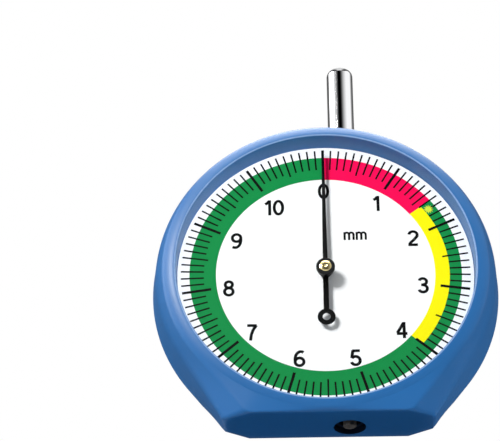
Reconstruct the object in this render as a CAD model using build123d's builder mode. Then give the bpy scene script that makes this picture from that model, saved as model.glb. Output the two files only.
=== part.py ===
from build123d import *
from math import acos, cos, pi, sin, tan
import os

# Dial-type tyre tread depth gauge, millimetres.
# The foot stands on z = 0. The dial faces -Y and its printed face lies in the plane y = 0.
# The origin is on the foot's flat, straight below the dial axis.
# Press the rod at the top and the probe comes out of the foot; one turn of the pointer is
# one full scale.

# Scale and movement
scale_travel = 11.0        # plunger travel for one turn of the pointer
tooth_count = 11           # pinion teeth, so that one tooth is one millimetre of travel
pressure_angle = 25 * pi / 180
addendum = 0.30
root_clearance = 0.10
tooth_backlash = 0.10
pinion_width = 1.60
pinion_end_play = 0.10
staff_radius = 0.50
bearing_clearance = 0.03

# Dial, crystal and rim
dial_radius = 25.95
dial_clearance = 0.10
dial_thickness = 0.50
dial_hole_radius = 0.90
floor_hole_radius = 1.60
dial_foot_radius = 0.60
dial_foot_reach = 19.0
dial_foot_drop = 6.0
crystal_thickness = 0.80
crystal_ledge = 0.55
crystal_clearance = 0.04
crystal_sink = 0.10
crest_lip = 0.40
crest_rise = 0.25
crest_round = 0.45
crest_drop = 0.15
rim_width = 2.15
rim_rise = 0.90
dial_depth = 4.00          # from the printed face forward to the crest of the rim

# Case, four outlines from front to rear: how far each swells past the rim, where it lies
# and how steep its flanks run down to the foot
shoulder_swell = 0.27
front_swell = 1.50
back_swell = 2.10
rear_swell = 2.50
front_belt_y = -0.40
back_belt_y = 4.45
case_back_y = 7.40
shoulder_flank = 51 * pi / 180
front_flank = 60 * pi / 180
back_flank = 57 * pi / 180
rear_flank = 51.5 * pi / 180
rear_foot_x = 13.60        # rear corners are cut off from here on the foot's rear edge
rear_cut_rise = 7.20       # up to this height on the rear outline
foot_edge_radius = 0.40
floor_thickness = 1.20
case_wall = 5.40           # rear rim of the round case, beside the movement chamber
cover_thickness = 1.00
cover_ledge = 1.25
cover_clearance = 0.05
cover_screw_inset = 1.50
cover_boss_radius = 1.90
cover_screw_length = 4.50
cover_screw_radius = 0.70
cover_head_radius = 1.40
head_slot_width = 0.35
head_slot_depth = 0.30
cover_screw_count = 4

# Plunger
rod_radius = 2.40
rod_reach = 15.90          # how far the rod stands out of its upper bush at rest
rod_drop = 4.00            # how far it goes below the dial axis
rod_dome = 1.30
rack_depth = 0.30          # flat cut on the rod's left side, up to the tips of the rack
rack_margin = 2.70
probe_radius = 1.15
probe_recess = 0.10
probe_socket = 3.60
probe_edge = 0.25
bush_clearance = 0.03
upper_bush_wall = 0.42
upper_bush_length = 6.40
upper_bush_sink = 1.15     # how far the bush stands into the movement chamber
bumper_thickness = 0.50
stop_gap = 0.02
clip_thickness = 0.60
clip_groove_depth = 0.40
clip_rim = 0.40
clip_mouth = 2.60
guide_pin_radius = 0.50
guide_pin_drop = 5.20      # below the upper bush
guide_pin_reach = 5.00     # from the rod's axis
guide_pin_socket = 1.70

# Foot hole, lower bush and return spring
foot_hole_radius = 2.75
foot_hole_depth = 1.20
lower_bush_wall = 0.85
lower_bush_rise = 1.05     # how far the lower bush stands into the chamber
spring_wire_radius = 0.20
spring_radius = 1.72
spring_turns = 8
spring_gap = 0.05

# Movement plates, pillars, channel and their screws
plate_thickness = 0.80
plate_gap = 0.12           # between the plates' edge and the rod
bush_wall = 0.42
plate_left = -14.50
plate_low = -11.60
plate_high = 9.30
bridge_left = -12.00
bridge_low = -9.50
bridge_high = 7.50
plate_corner = 1.20
pillar_radius = 1.10
pillar_places = [(-10.0, 5.5), (-10.0, -7.5), (-2.5, -7.5)]
plate_screw_inset = 1.30
screw_radius = 0.45
screw_depth = 1.00
screw_head_radius = 0.90
screw_head_height = 0.50
channel_gap = 0.60
channel_depth = 2.20
channel_back = 0.50
channel_rail = 1.20
channel_flange = 2.40
channel_stop_gap = 0.10
channel_clearance = 0.05
channel_foot = 2.40
channel_above = 2.00
channel_screw_inset = 2.60

# Pointer
pointer_gap = 1.20          # between the pointer's tip and the dial's edge
pointer_tail = 9.20
pointer_width = 0.90
pointer_tip_width = 0.44
pointer_tail_width = 0.95
pointer_thickness = 0.15
tail_ring_radius = 1.55
tail_ring_hole = 0.70
hub_lift = 0.40            # gap between dial and hub
hub_sleeve_radius = 1.15
hub_sleeve_length = 0.55
hub_neck_radius = 0.80
hub_boss_radius = 1.40
hub_crystal_gap = 0.35     # from the brass cap to the crystal
hub_disc_radius = 1.65
hub_disc_thickness = 0.55
hub_edge = 0.12
hub_cap_radius = 1.03
hub_cap_thickness = 0.15
hub_dimple_radius = 0.36

# Sizes that follow from those above
tooth_pitch = scale_travel / tooth_count
pitch_radius = scale_travel / (2 * pi)
base_radius = pitch_radius * cos(pressure_angle)
dial_bore = dial_radius + dial_clearance
crystal_bore = dial_bore + crystal_ledge
crest_radius = crystal_bore + crest_lip
rim_radius = dial_bore + rim_width
dial_height = rim_radius          # the foot is level with the lowest point of the rim
crest_y = -dial_depth
shoulder_y = crest_y + rim_rise
crystal_back_y = crest_y + crystal_sink + crystal_thickness
floor_y = dial_thickness
chamber_y = floor_y + floor_thickness
cover_y = case_back_y - cover_thickness
chamber_radius = rim_radius + back_swell - case_wall - cover_ledge
cover_radius = chamber_radius + cover_ledge - cover_clearance
side_foot_x = (rim_radius + back_swell - dial_height * cos(back_flank)) / sin(back_flank)
rear_cut_depth = dial_height - rear_cut_rise
rear_cut_x = (rim_radius + rear_swell - rear_cut_depth * cos(rear_flank)) / sin(rear_flank)
rod_y = (floor_y + cover_y) / 2
rack_flat_x = pitch_radius - addendum
rod_x = rack_flat_x + rod_radius - rack_depth
upper_bush_bottom = dial_height + chamber_radius - upper_bush_sink
upper_bush_top = upper_bush_bottom + upper_bush_length
lower_bush_top = dial_height - chamber_radius + lower_bush_rise
rod_top_height = upper_bush_top + rod_reach
rod_bottom_height = dial_height - rod_drop
guide_pin_height = upper_bush_bottom - guide_pin_drop
guide_pin_tip = rod_x + guide_pin_reach
clip_radius = rod_radius + clip_rim
upper_bush_radius = rod_radius + bush_clearance + upper_bush_wall
lower_bush_radius = probe_radius + bush_clearance + lower_bush_wall
slot_half_width = upper_bush_radius + 0.10
bumper_top = upper_bush_bottom - stop_gap
clip_top = bumper_top - bumper_thickness
plate_y = chamber_y
plate_right = rack_flat_x - plate_gap
pinion_front_y = rod_y - pinion_width / 2
pinion_back_y = rod_y + pinion_width / 2
front_bush_end = pinion_front_y - pinion_end_play
rear_bush_start = pinion_back_y + pinion_end_play
bridge_y = rear_bush_start + 0.45
bridge_back_y = bridge_y + plate_thickness
bush_bore = staff_radius + bearing_clearance
bush_radius = bush_bore + bush_wall
screw_circle = chamber_radius - cover_screw_inset
cover_head_height = cover_head_radius - cover_screw_radius
screw_sink_height = screw_head_radius - screw_radius
channel_x = rod_x + rod_radius + channel_gap
flange_x = channel_x + channel_depth + channel_back
channel_low = guide_pin_height - scale_travel - guide_pin_radius - channel_stop_gap - dial_height
channel_bottom = channel_low - channel_foot
channel_top = guide_pin_height + channel_above - dial_height
channel_screw_x = flange_x + channel_flange / 2
hub_back_y = -hub_lift
pointer_back_y = hub_back_y - hub_sleeve_length
hub_boss_y = pointer_back_y - pointer_thickness
hub_front_y = crystal_back_y + hub_crystal_gap + hub_cap_thickness
hub_disc_y = hub_front_y + hub_disc_thickness
hub_boss_length = hub_boss_y - hub_disc_y
staff_front_y = hub_front_y
pointer_length = dial_radius - pointer_gap

plate_screw_x = plate_left + plate_screw_inset
plate_screw_places = [
    (plate_screw_x, plate_high - plate_screw_inset),
    (plate_screw_x, plate_low + plate_screw_inset),
    (plate_right - plate_screw_inset, plate_low + plate_screw_inset),
]
dial_foot_places = [(-dial_foot_reach, -dial_foot_drop), (dial_foot_reach, -dial_foot_drop)]
channel_screw_places = [
    (channel_screw_x, channel_bottom + channel_screw_inset),
    (channel_screw_x, channel_top - channel_screw_inset),
]
pin_plane = Plane(
    origin=(rod_x + rod_radius - guide_pin_socket, rod_y, guide_pin_height), z_dir=(1, 0, 0)
)

dial_axis = Axis((0, 0, dial_height), (0, 1, 0))


def across(y):
    """Plane across the dial axis at y, seen from the front: x to the right, z up."""
    return Plane(origin=(0, y, dial_height), x_dir=(1, 0, 0), z_dir=(0, -1, 0))


def level(z):
    """Plane across the plunger at height z, centred on its axis."""
    return Plane(origin=(rod_x, rod_y, z), x_dir=(1, 0, 0), z_dir=(0, 0, 1))


def involute(angle):
    """Involute function of an angle in radians."""
    return tan(angle) - angle


os.makedirs("parts", exist_ok=True)

# Case: a round body whose tangent flanks run down to a flat foot, ruled between four
# outlines, with a raised rim in front and the movement chamber open to the rear
outlines = [
    (shoulder_y, rim_radius + shoulder_swell, shoulder_flank),
    (front_belt_y, rim_radius + front_swell, front_flank),
    (back_belt_y, rim_radius + back_swell, back_flank),
    (case_back_y, rim_radius + rear_swell, rear_flank),
]
boss_places = PolarLocations(screw_circle, cover_screw_count, start_angle=45)

with BuildPart() as case_body:
    for outline_y, radius, flank in outlines:
        corner_x = (radius - dial_height * cos(flank)) / sin(flank)
        touch_x = radius * sin(flank)
        touch_z = -radius * cos(flank)
        with BuildSketch(across(outline_y)):
            with BuildLine():
                Line((corner_x, -dial_height), (touch_x, touch_z))
                ThreePointArc((touch_x, touch_z), (0, radius), (-touch_x, touch_z))
                Line((-touch_x, touch_z), (-corner_x, -dial_height))
                Line((-corner_x, -dial_height), (corner_x, -dial_height))
            make_face()
    loft(ruled=True)
    # Rear corners, cut off from the foot's side corners up to the rear outline
    for side in (-1, 1):
        low_rear = Vector(side * rear_foot_x, case_back_y, 0)
        low_side = Vector(side * side_foot_x, back_belt_y, 0)
        high_rear = Vector(side * rear_cut_x, case_back_y, rear_cut_rise)
        cut_normal = (low_side - low_rear).cross(high_rear - low_rear) * side
        split(bisect_by=Plane(origin=low_rear, z_dir=cut_normal), keep=Keep.TOP)
    foot_face = case_body.faces().sort_by(Axis.Z)[0]
    fillet(foot_face.edges(), foot_edge_radius)
    # Raised rim, rounded at its crest and sloping down to the shoulder
    with BuildSketch(Plane.XY.offset(dial_height)):
        with BuildLine():
            Line((crystal_bore, front_belt_y), (crystal_bore, crest_y + crest_rise))
            ThreePointArc(
                (crystal_bore, crest_y + crest_rise),
                (crystal_bore + 0.3 * crest_lip, crest_y + 0.3 * crest_rise),
                (crest_radius, crest_y),
            )
            ThreePointArc(
                (crest_radius, crest_y),
                (crest_radius + 0.6 * crest_round, crest_y + 0.3 * crest_drop),
                (crest_radius + crest_round, crest_y + crest_drop),
            )
            Line((crest_radius + crest_round, crest_y + crest_drop), (rim_radius, shoulder_y))
            Line((rim_radius, shoulder_y), (rim_radius, front_belt_y))
            Line((rim_radius, front_belt_y), (crystal_bore, front_belt_y))
        make_face()
    revolve(axis=dial_axis)
    # Crystal seat and dial bore
    with BuildSketch(across(crest_y)):
        Circle(crystal_bore)
    extrude(amount=-(crystal_back_y - crest_y), mode=Mode.SUBTRACT)
    with BuildSketch(across(crystal_back_y)):
        Circle(dial_bore)
    extrude(amount=-(floor_y - crystal_back_y), mode=Mode.SUBTRACT)
    # Movement chamber and cover seat
    with BuildSketch(across(chamber_y)):
        Circle(chamber_radius)
        with boss_places:
            Circle(cover_boss_radius, mode=Mode.SUBTRACT)
    extrude(amount=-(cover_y - chamber_y), mode=Mode.SUBTRACT)
    with BuildSketch(across(cover_y)):
        Circle(chamber_radius + cover_ledge)
    extrude(amount=-cover_thickness, mode=Mode.SUBTRACT)
    with BuildSketch(across(cover_y)):
        with boss_places:
            Circle(cover_screw_radius)
    extrude(amount=cover_screw_length - cover_thickness, mode=Mode.SUBTRACT)
    # Slot that lets the plunger run beside the staff
    with BuildSketch(across(floor_y)):
        with Locations((rod_x, 0)):
            Rectangle(2 * slot_half_width, 2 * chamber_radius)
        Circle(chamber_radius, mode=Mode.INTERSECT)
        Circle(floor_hole_radius)
    extrude(amount=-floor_thickness, mode=Mode.SUBTRACT)
    # Holes for the dial feet, the plate screws and the channel screws
    with BuildSketch(across(floor_y)):
        with Locations(dial_foot_places):
            Circle(dial_foot_radius)
    extrude(amount=-floor_thickness, mode=Mode.SUBTRACT)
    with BuildSketch(across(chamber_y)):
        with Locations(plate_screw_places + channel_screw_places):
            Circle(screw_radius)
    extrude(amount=screw_depth, mode=Mode.SUBTRACT)
    # Bores for the plunger's bushes and the hole in the foot
    with BuildSketch(level(dial_height)):
        Circle(upper_bush_radius)
    extrude(amount=2 * chamber_radius, mode=Mode.SUBTRACT)
    with BuildSketch(level(0)):
        Circle(lower_bush_radius)
    extrude(amount=dial_height - chamber_radius + case_wall / 2, mode=Mode.SUBTRACT)
    with BuildSketch(level(0)):
        Circle(foot_hole_radius)
    extrude(amount=foot_hole_depth, mode=Mode.SUBTRACT)
case_body.part.label = "case_body"
export_step(case_body.part, "parts/case_body.step")

# Back cover: a plain disc let into the rear of the case, with countersunk screws
with BuildPart() as back_cover:
    with BuildSketch(across(cover_y)):
        Circle(cover_radius)
        with boss_places:
            Circle(cover_screw_radius, mode=Mode.SUBTRACT)
    extrude(amount=-cover_thickness)
    with BuildSketch(across(case_back_y)):
        with boss_places:
            Circle(cover_head_radius)
    extrude(amount=cover_head_height, taper=45, mode=Mode.SUBTRACT)
back_cover.part.label = "back_cover"
export_step(back_cover.part, "parts/back_cover.step")

with BuildPart() as cover_screws:
    with BuildSketch(across(case_back_y)):
        with boss_places:
            Circle(cover_head_radius)
    extrude(amount=cover_head_height, taper=45)
    with BuildSketch(across(case_back_y)):
        with boss_places:
            Circle(cover_screw_radius)
    extrude(amount=cover_screw_length)
    with BuildSketch(across(case_back_y)):
        with boss_places:
            Rectangle(2 * cover_head_radius, head_slot_width)
    extrude(amount=head_slot_depth, mode=Mode.SUBTRACT)
cover_screws.part.label = "cover_screws"
export_step(cover_screws.part, "parts/cover_screws.step")

# Crystal, pressed into its seat just under the crest of the rim
with BuildPart() as crystal:
    with BuildSketch(across(crystal_back_y - crystal_thickness)):
        Circle(crystal_bore - crystal_clearance)
    extrude(amount=-crystal_thickness)
    chamfer(crystal.edges().sort_by(Axis.Y)[0], crystal_clearance)
crystal.part.label = "crystal"
export_step(crystal.part, "parts/crystal.step")

# Dial plate with two feet set in the case floor
with BuildPart() as dial_plate:
    with BuildSketch(across(0)):
        Circle(dial_radius)
        Circle(dial_hole_radius, mode=Mode.SUBTRACT)
    extrude(amount=-dial_thickness)
    with BuildSketch(across(floor_y)):
        with Locations(dial_foot_places):
            Circle(dial_foot_radius)
    extrude(amount=-floor_thickness)
dial_plate.part.label = "dial_plate"
export_step(dial_plate.part, "parts/dial_plate.step")

# Front plate of the movement, screwed to the case floor beside the plunger
with BuildPart() as movement_plate:
    with BuildSketch(across(plate_y)):
        with Locations(((plate_left + plate_right) / 2, (plate_low + plate_high) / 2)):
            RectangleRounded(plate_right - plate_left, plate_high - plate_low, plate_corner)
        Circle(bush_radius, mode=Mode.SUBTRACT)
        with Locations(plate_screw_places):
            Circle(screw_radius, mode=Mode.SUBTRACT)
    extrude(amount=-plate_thickness)
movement_plate.part.label = "movement_plate"
export_step(movement_plate.part, "parts/movement_plate.step")

with BuildPart() as plate_screws:
    with BuildSketch(across(plate_y + plate_thickness)):
        with Locations(plate_screw_places):
            Circle(screw_head_radius)
    extrude(amount=-screw_head_height)
    with BuildSketch(across(plate_y + plate_thickness)):
        with Locations(plate_screw_places):
            Circle(screw_radius)
    extrude(amount=plate_thickness + screw_depth)
    with BuildSketch(across(plate_y + plate_thickness + screw_head_height)):
        with Locations(plate_screw_places):
            Rectangle(2 * screw_head_radius, head_slot_width)
    extrude(amount=head_slot_depth, mode=Mode.SUBTRACT)
plate_screws.part.label = "plate_screws"
export_step(plate_screws.part, "parts/plate_screws.step")

# Three pillars carry the rear bridge
with BuildPart() as bridge_pillars:
    with BuildSketch(across(plate_y + plate_thickness)):
        with Locations(pillar_places):
            Circle(pillar_radius)
    extrude(amount=-(bridge_y - plate_y - plate_thickness))
    with BuildSketch(across(bridge_y)):
        with Locations(pillar_places):
            Circle(screw_radius)
    extrude(amount=screw_depth, mode=Mode.SUBTRACT)
bridge_pillars.part.label = "bridge_pillars"
export_step(bridge_pillars.part, "parts/bridge_pillars.step")

with BuildPart() as movement_bridge:
    with BuildSketch(across(bridge_y)):
        with Locations(((bridge_left + plate_right) / 2, (bridge_low + bridge_high) / 2)):
            RectangleRounded(plate_right - bridge_left, bridge_high - bridge_low, plate_corner)
        Circle(bush_radius, mode=Mode.SUBTRACT)
        with Locations(pillar_places):
            Circle(screw_radius, mode=Mode.SUBTRACT)
    extrude(amount=-plate_thickness)
    with BuildSketch(across(bridge_back_y)):
        with Locations(pillar_places):
            Circle(screw_head_radius)
    extrude(amount=screw_sink_height, taper=45, mode=Mode.SUBTRACT)
movement_bridge.part.label = "movement_bridge"
export_step(movement_bridge.part, "parts/movement_bridge.step")

with BuildPart() as bridge_screws:
    with BuildSketch(across(bridge_back_y)):
        with Locations(pillar_places):
            Circle(screw_head_radius)
    extrude(amount=screw_sink_height, taper=45)
    with BuildSketch(across(bridge_back_y)):
        with Locations(pillar_places):
            Circle(screw_radius)
    extrude(amount=plate_thickness + screw_depth)
bridge_screws.part.label = "bridge_screws"
export_step(bridge_screws.part, "parts/bridge_screws.step")

# Two brass bushes for the pointer staff
with BuildPart() as front_staff_bush:
    with BuildSketch(across(floor_y)):
        Circle(bush_radius)
        Circle(bush_bore, mode=Mode.SUBTRACT)
    extrude(amount=-(front_bush_end - floor_y))
front_staff_bush.part.label = "front_staff_bush"
export_step(front_staff_bush.part, "parts/front_staff_bush.step")

with BuildPart() as rear_staff_bush:
    with BuildSketch(across(rear_bush_start)):
        Circle(bush_radius)
        Circle(bush_bore, mode=Mode.SUBTRACT)
    extrude(amount=-(bridge_back_y - rear_bush_start))
rear_staff_bush.part.label = "rear_staff_bush"
export_step(rear_staff_bush.part, "parts/rear_staff_bush.step")

# Guide bushes of the plunger, one in the top of the case and one in the foot
with BuildPart() as upper_guide_bush:
    with BuildSketch(level(upper_bush_bottom)):
        Circle(upper_bush_radius)
        Circle(rod_radius + bush_clearance, mode=Mode.SUBTRACT)
    extrude(amount=upper_bush_top - upper_bush_bottom)
upper_guide_bush.part.label = "upper_guide_bush"
export_step(upper_guide_bush.part, "parts/upper_guide_bush.step")

with BuildPart() as lower_guide_bush:
    with BuildSketch(level(foot_hole_depth)):
        Circle(lower_bush_radius)
        Circle(probe_radius + bush_clearance, mode=Mode.SUBTRACT)
    extrude(amount=lower_bush_top - foot_hole_depth)
lower_guide_bush.part.label = "lower_guide_bush"
export_step(lower_guide_bush.part, "parts/lower_guide_bush.step")

# Channel that keeps the plunger from turning; its closed lower end is the lower stop
with BuildPart() as guide_channel:
    channel_height = channel_top - channel_bottom
    channel_middle = (channel_top + channel_bottom) / 2
    slot_half_height = guide_pin_radius + channel_clearance
    with BuildSketch(across(chamber_y)):
        with Locations(((channel_x + flange_x) / 2, channel_middle)):
            Rectangle(flange_x - channel_x, channel_height)
    extrude(amount=-(rod_y + slot_half_height + channel_rail - chamber_y))
    with BuildSketch(across(chamber_y)):
        with Locations((flange_x + channel_flange / 2, channel_middle)):
            Rectangle(channel_flange, channel_height)
        with Locations(channel_screw_places):
            Circle(screw_radius, mode=Mode.SUBTRACT)
    extrude(amount=-plate_thickness)
    with BuildSketch(across(rod_y)):
        with Locations((channel_x + channel_depth / 2, (channel_low + channel_top) / 2)):
            Rectangle(channel_depth, channel_top - channel_low)
    extrude(amount=slot_half_height, both=True, mode=Mode.SUBTRACT)
guide_channel.part.label = "guide_channel"
export_step(guide_channel.part, "parts/guide_channel.step")

with BuildPart() as channel_screws:
    with BuildSketch(across(chamber_y + plate_thickness)):
        with Locations(channel_screw_places):
            Circle(screw_head_radius)
    extrude(amount=-screw_head_height)
    with BuildSketch(across(chamber_y + plate_thickness)):
        with Locations(channel_screw_places):
            Circle(screw_radius)
    extrude(amount=plate_thickness + screw_depth)
    with BuildSketch(across(chamber_y + plate_thickness + screw_head_height)):
        with Locations(channel_screw_places):
            Rectangle(2 * screw_head_radius, head_slot_width)
    extrude(amount=head_slot_depth, mode=Mode.SUBTRACT)
channel_screws.part.label = "channel_screws"
export_step(channel_screws.part, "parts/channel_screws.step")

# Return spring round the probe, from the lower bush up to the plunger's shoulder
with BuildPart() as return_spring:
    coil_start = lower_bush_top + spring_wire_radius + spring_gap
    coil_height = rod_bottom_height - spring_wire_radius - spring_gap - coil_start
    with BuildLine(level(coil_start)) as coil:
        Helix(coil_height / spring_turns, coil_height, spring_radius)
    with BuildSketch(Plane(origin=coil.line @ 0, z_dir=coil.line % 0)):
        Circle(spring_wire_radius)
    sweep(path=coil.line, is_frenet=True)
return_spring.part.label = "return_spring"
export_step(return_spring.part, "parts/return_spring.step")

# Plunger rod with the rack cut in its left side
rack_half_gap = (tooth_pitch + tooth_backlash) / 4
rack_root_x = pitch_radius + addendum + root_clearance
rack_open_x = rack_flat_x - root_clearance
gap_open = rack_half_gap + (pitch_radius - rack_open_x) * tan(pressure_angle)
gap_root = rack_half_gap - (rack_root_x - pitch_radius) * tan(pressure_angle)
rack_gaps = [(0, tooth_pitch * number) for number in range(-2, tooth_count + 3)]

with BuildPart() as plunger_rod:
    with BuildSketch(level(rod_bottom_height)):
        Circle(rod_radius)
    extrude(amount=rod_top_height - rod_bottom_height)
    fillet(plunger_rod.edges().sort_by(Axis.Z)[-1], rod_dome)
    with BuildSketch(across(rod_y)):
        with Locations((rack_flat_x - rod_radius / 2, scale_travel / 2)):
            Rectangle(rod_radius, scale_travel + 2 * rack_margin)
        with Locations(rack_gaps):
            Polygon(
                (rack_open_x, gap_open),
                (rack_open_x, -gap_open),
                (rack_root_x, -gap_root),
                (rack_root_x, gap_root),
                align=None,
            )
    extrude(amount=rod_radius, both=True, mode=Mode.SUBTRACT)
    # Groove for the clip, socket for the probe and socket for the guide pin
    with BuildSketch(level(clip_top - clip_thickness)):
        Circle(rod_radius + clip_rim)
        Circle(rod_radius - clip_groove_depth, mode=Mode.SUBTRACT)
    extrude(amount=clip_thickness, mode=Mode.SUBTRACT)
    with BuildSketch(level(rod_bottom_height)):
        Circle(probe_radius)
    extrude(amount=probe_socket, mode=Mode.SUBTRACT)
    with BuildSketch(pin_plane):
        Circle(guide_pin_radius)
    extrude(amount=2 * guide_pin_socket, mode=Mode.SUBTRACT)
plunger_rod.part.label = "plunger_rod"
export_step(plunger_rod.part, "parts/plunger_rod.step")

with BuildPart() as probe_pin:
    with BuildSketch(level(probe_recess)):
        Circle(probe_radius)
    extrude(amount=rod_bottom_height + probe_socket - probe_recess)
    fillet(probe_pin.edges().sort_by(Axis.Z)[0], probe_edge)
probe_pin.part.label = "probe_pin"
export_step(probe_pin.part, "parts/probe_pin.step")

with BuildPart() as guide_pin:
    with BuildSketch(pin_plane):
        Circle(guide_pin_radius)
    extrude(amount=guide_pin_tip - pin_plane.origin.X)
guide_pin.part.label = "guide_pin"
export_step(guide_pin.part, "parts/guide_pin.step")

with BuildPart() as retaining_clip:
    with BuildSketch(level(clip_top - clip_thickness)):
        Circle(clip_radius)
        Circle(rod_radius - clip_groove_depth, mode=Mode.SUBTRACT)
        with Locations((0, clip_radius)):
            Rectangle(clip_mouth, 2 * clip_radius, mode=Mode.SUBTRACT)
    extrude(amount=clip_thickness)
retaining_clip.part.label = "retaining_clip"
export_step(retaining_clip.part, "parts/retaining_clip.step")

with BuildPart() as bumper_washer:
    with BuildSketch(level(clip_top)):
        Circle(clip_radius)
        Circle(rod_radius, mode=Mode.SUBTRACT)
    extrude(amount=bumper_thickness)
bumper_washer.part.label = "bumper_washer"
export_step(bumper_washer.part, "parts/bumper_washer.step")

# Pointer staff and its pinion: involute flanks above the base circle, radial below it
half_tooth = (tooth_pitch - tooth_backlash) / 4 / pitch_radius + involute(pressure_angle)
tip_radius = pitch_radius + addendum
root_radius = pitch_radius - addendum - root_clearance
flank_radii = [base_radius + (tip_radius - base_radius) * step / 4 for step in range(5)]
flank = [(root_radius, half_tooth)]
for radius in flank_radii:
    flank.append((radius, half_tooth - involute(acos(base_radius / radius))))
tooth = [(radius, -angle) for radius, angle in flank] + flank[::-1]
pinion_outline = []
for number in range(tooth_count):
    centre = 2 * pi * number / tooth_count
    for radius, angle in tooth:
        pinion_outline.append((radius * cos(centre + angle), radius * sin(centre + angle)))

with BuildPart() as pinion:
    with BuildSketch(across(pinion_front_y)):
        with BuildLine():
            Polyline(pinion_outline, close=True)
        make_face()
        Circle(staff_radius, mode=Mode.SUBTRACT)
    extrude(amount=-pinion_width)
pinion.part.label = "pinion"
export_step(pinion.part, "parts/pinion.step")

with BuildPart() as pointer_staff:
    with BuildSketch(across(staff_front_y)):
        Circle(staff_radius)
    extrude(amount=-(bridge_back_y - staff_front_y))
pointer_staff.part.label = "pointer_staff"
export_step(pointer_staff.part, "parts/pointer_staff.step")

# Pointer, its hub and the brass cap in the middle
with BuildPart() as pointer:
    with BuildSketch(across(pointer_back_y)):
        with BuildLine():
            Polyline(
                (-pointer_width / 2, 0),
                (-pointer_tip_width / 2, pointer_length),
                (pointer_tip_width / 2, pointer_length),
                (pointer_width / 2, 0),
                close=True,
            )
        make_face()
        Circle(hub_sleeve_radius)
        with Locations((0, -pointer_tail / 2)):
            Rectangle(pointer_tail_width, pointer_tail)
        with Locations((0, -pointer_tail)):
            Circle(tail_ring_radius)
            Circle(tail_ring_hole, mode=Mode.SUBTRACT)
        Circle(hub_neck_radius, mode=Mode.SUBTRACT)
    extrude(amount=pointer_thickness)
pointer.part.label = "pointer"
export_step(pointer.part, "parts/pointer.step")

with BuildPart() as pointer_hub:
    with BuildSketch(across(hub_back_y)):
        Circle(hub_sleeve_radius)
    extrude(amount=hub_sleeve_length)
    with BuildSketch(across(pointer_back_y)):
        Circle(hub_neck_radius)
    extrude(amount=pointer_thickness)
    with BuildSketch(across(hub_boss_y)):
        Circle(hub_boss_radius)
    extrude(amount=hub_boss_length)
    with BuildSketch(across(hub_disc_y)):
        Circle(hub_disc_radius)
    extrude(amount=hub_disc_thickness)
    fillet(pointer_hub.edges().sort_by(Axis.Y)[0], hub_edge)
    with BuildSketch(across(hub_back_y)):
        Circle(staff_radius)
    extrude(amount=hub_back_y - hub_front_y, mode=Mode.SUBTRACT)
pointer_hub.part.label = "pointer_hub"
export_step(pointer_hub.part, "parts/pointer_hub.step")

with BuildPart() as hub_cap:
    with BuildSketch(across(hub_front_y)):
        Circle(hub_cap_radius)
    extrude(amount=hub_cap_thickness)
    with BuildSketch(across(hub_front_y - hub_cap_thickness)):
        Circle(hub_dimple_radius)
    extrude(amount=-hub_cap_thickness / 2, mode=Mode.SUBTRACT)
hub_cap.part.label = "hub_cap"
export_step(hub_cap.part, "parts/hub_cap.step")
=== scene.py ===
from math import atan2, cos, pi, radians, sin

import bmesh
import bpy
from mathutils import Matrix, Vector


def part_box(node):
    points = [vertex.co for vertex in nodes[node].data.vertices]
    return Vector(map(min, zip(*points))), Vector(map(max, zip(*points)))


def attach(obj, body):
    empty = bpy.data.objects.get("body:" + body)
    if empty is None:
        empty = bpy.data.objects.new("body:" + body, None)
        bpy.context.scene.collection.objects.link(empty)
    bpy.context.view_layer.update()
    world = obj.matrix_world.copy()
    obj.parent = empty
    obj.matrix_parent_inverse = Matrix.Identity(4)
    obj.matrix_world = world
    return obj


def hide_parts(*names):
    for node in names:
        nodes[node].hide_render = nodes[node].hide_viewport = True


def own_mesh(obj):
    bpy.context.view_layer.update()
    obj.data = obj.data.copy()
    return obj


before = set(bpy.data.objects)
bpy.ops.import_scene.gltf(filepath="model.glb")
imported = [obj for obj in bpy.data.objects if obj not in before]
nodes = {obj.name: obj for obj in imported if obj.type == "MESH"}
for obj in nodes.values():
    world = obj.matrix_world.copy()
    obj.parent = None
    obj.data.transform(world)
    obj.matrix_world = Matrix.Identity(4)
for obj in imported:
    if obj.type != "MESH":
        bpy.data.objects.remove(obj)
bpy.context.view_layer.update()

MM = 0.001

# ---------------------------------------------------------------------------------------------
# Case. One moulding in satin blue plastic: a round body with a raised rim, whose flanks run down
# to a flat foot. Four outlines from front to rear carry the skin, with their creases softened as
# a mould leaves them. Inside are the dial seat, a floor and the chamber of the movement.

crystal_low, crystal_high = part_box("crystal")
dial_height = (crystal_low.z + crystal_high.z) / 2
rod_low, rod_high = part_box("plunger_rod")
rod_y = (rod_low.y + rod_high.y) / 2
bush_low, bush_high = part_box("upper_guide_bush")
rod_x = (bush_low.x + bush_high.x) / 2
bush_bore = (bush_high.x - bush_low.x) / 2
foot_bush_low, foot_bush_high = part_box("lower_guide_bush")

crest_end = 27.75 * MM
crest_y = -4.00 * MM
crest_round = 0.16 * MM
crest_drop = 0.46 * MM
dial_bore = 26.05 * MM
floor_y = 0.50 * MM
staff_hole = 1.60 * MM
chamber_y = 1.70 * MM
chamber_radius = 23.65 * MM
cover_y = 6.40 * MM
cover_seat = 24.90 * MM
case_back_y = 7.40 * MM
# y, radius of the round part, slope of the flank, how far its crease is softened, foot corner
outlines = [
    (-3.10 * MM, 28.47 * MM, radians(51), 0.90 * MM, 2.40 * MM),
    (-0.40 * MM, 29.70 * MM, radians(60), 2.00 * MM, 1.00 * MM),
    (4.45 * MM, 30.30 * MM, radians(57), 1.60 * MM, 0.50 * MM),
    (7.40 * MM, 30.70 * MM, radians(51.5), 0.50 * MM, 0.50 * MM),
]
# Rear corners of the foot, cut off: x at the rear and at the third outline, then how far out and
# how high the cut ends in the rear plane
rear_cut_low = 13.60 * MM
side_cut_low = 17.81 * MM
rear_cut_high = (22.52 * MM, 7.20 * MM)
foot_edge_round = 0.40 * MM
side_edge_round = 1.20 * MM
# Points nearer to each other than this are made one; a side shorter than nothing has no direction
weld = 2e-7
nothing = 1e-9


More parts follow.
